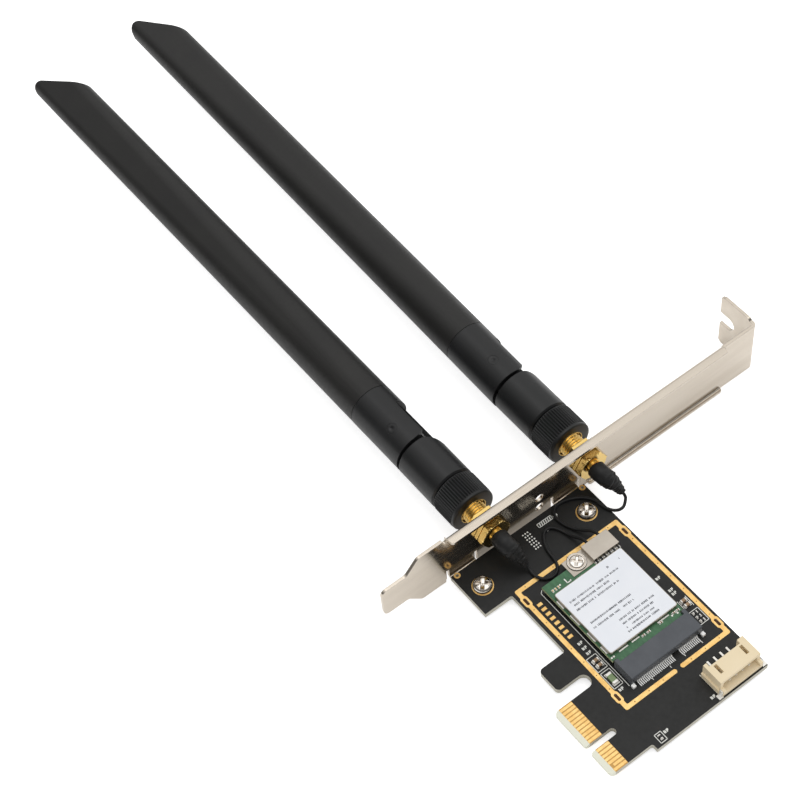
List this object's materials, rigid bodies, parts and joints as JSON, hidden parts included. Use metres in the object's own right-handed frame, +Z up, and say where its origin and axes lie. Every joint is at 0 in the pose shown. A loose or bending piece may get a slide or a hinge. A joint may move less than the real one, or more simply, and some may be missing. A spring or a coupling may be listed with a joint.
{
  "type": "plug-in wireless network card with antennas",
  "caption": "Short-slot wireless card: black board with a plug-in radio module, folded metal slot bracket and screw-on antennas that swivel and fold at a pinned hinge.",
  "frame": {"origin": "on the board's connector edge, at the middle of the key slot's width and half-way through the board's thickness", "axes": "+X from the connector edge across the board, along the bracket from its tongue to its bent tab; +Y out through the bracket along the antennas; +Z up from the component side"},
  "size_m": [0.1206, 0.2734, 0.0184],
  "materials": {
    "black_board": "satin solder mask",
    "gold_plate": "gold plated",
    "plated_sheet": "bright nickel plate",
    "bright_screw": "polished",
    "slate_plastic": "fine matte",
    "tin": "tinned",
    "green_board": "satin solder mask",
    "black_ceramic": "matte",
    "white_label": "paper",
    "tan_ceramic": "matte",
    "ivory_plastic": "smooth",
    "white_ceramic": "matte",
    "gold_brass": "gold plated",
    "white_insulator": "smooth",
    "black_sleeve": "satin",
    "black_plastic": "fine textured",
    "steel_pin": "blackened",
    "copper_strip": "bare copper on board"
  },
  "bodies": {
    "card": {"pcb": "black_board", "edge_contacts": "gold_plate", "ground_trace": "gold_plate", "screw_pads": "gold_plate", "bracket": "plated_sheet", "bracket_screws": "bright_screw", "module_screw": "bright_screw", "module_socket": "slate_plastic", "socket_contacts": "tin", "header_pins": "tin", "header_anchors": "tin", "cover_clip": "tin", "module_standoff": "tin", "shield_can": "tin", "module_board": "green_board", "radio_chip": "black_ceramic", "chip_resistors": "black_ceramic", "module_label": "white_label", "module_passives": "tan_ceramic", "chip_capacitors": "tan_ceramic", "coax_receptacles": "gold_plate", "coax_plugs": "gold_plate", "header_housing": "ivory_plastic", "fuse": "white_ceramic", "left_jack_body": "gold_brass", "left_jack_contact": "gold_brass", "left_jack_washer": "gold_brass", "left_jack_nut": "gold_brass", "left_jack_insulator": "white_insulator", "left_boot": "black_sleeve", "left_cable": "black_sleeve", "right_jack_body": "gold_brass", "right_jack_contact": "gold_brass", "right_jack_washer": "gold_brass", "right_jack_nut": "gold_brass", "right_jack_insulator": "white_insulator", "right_boot": "black_sleeve", "right_cable": "black_sleeve"},
    "left_nut": {"left_coupling_nut": "black_plastic", "left_nut_insert": "gold_brass"},
    "left_base": {"left_base_barrel": "black_plastic", "left_plug_body": "gold_brass", "left_plug_insulator": "white_insulator", "left_plug_contact": "gold_brass"},
    "left_blade": {"left_hinge_collar": "black_plastic", "left_hinge_pin": "steel_pin", "left_radome": "black_plastic", "left_radiator": "copper_strip"},
    "right_nut": {"right_coupling_nut": "black_plastic", "right_nut_insert": "gold_brass"},
    "right_base": {"right_base_barrel": "black_plastic", "right_plug_body": "gold_brass", "right_plug_insulator": "white_insulator", "right_plug_contact": "gold_brass"},
    "right_blade": {"right_hinge_collar": "black_plastic", "right_hinge_pin": "steel_pin", "right_radome": "black_plastic", "right_radiator": "copper_strip"}
  },
  "joints": [
    {"name": "left_nut_spin", "type": "hinge", "parent": "card", "child": "left_nut", "pos_m": [0.0179, 0.068, 0.0078], "axis": [0, 1, 0], "continuous": true},
    {"name": "left_swivel", "type": "hinge", "parent": "card", "child": "left_base", "pos_m": [0.0179, 0.08, 0.0078], "axis": [0, -1, 0], "range_deg": [-294.29, 65.71]},
    {"name": "left_tilt", "type": "hinge", "parent": "left_base", "child": "left_blade", "pos_m": [0.0179, 0.0934, 0.0078], "axis": [0.4113, 0, -0.9115], "range_deg": [0, 90]},
    {"name": "right_nut_spin", "type": "hinge", "parent": "card", "child": "right_nut", "pos_m": [0.0489, 0.068, 0.0078], "axis": [0, 1, 0], "continuous": true},
    {"name": "right_swivel", "type": "hinge", "parent": "card", "child": "right_base", "pos_m": [0.0489, 0.08, 0.0078], "axis": [0, -1, 0], "range_deg": [-279, 81]},
    {"name": "right_tilt", "type": "hinge", "parent": "right_base", "child": "right_blade", "pos_m": [0.0489, 0.0934, 0.0078], "axis": [0.1564, 0, -0.9877], "range_deg": [-0.9, 89.1]}
  ]
}
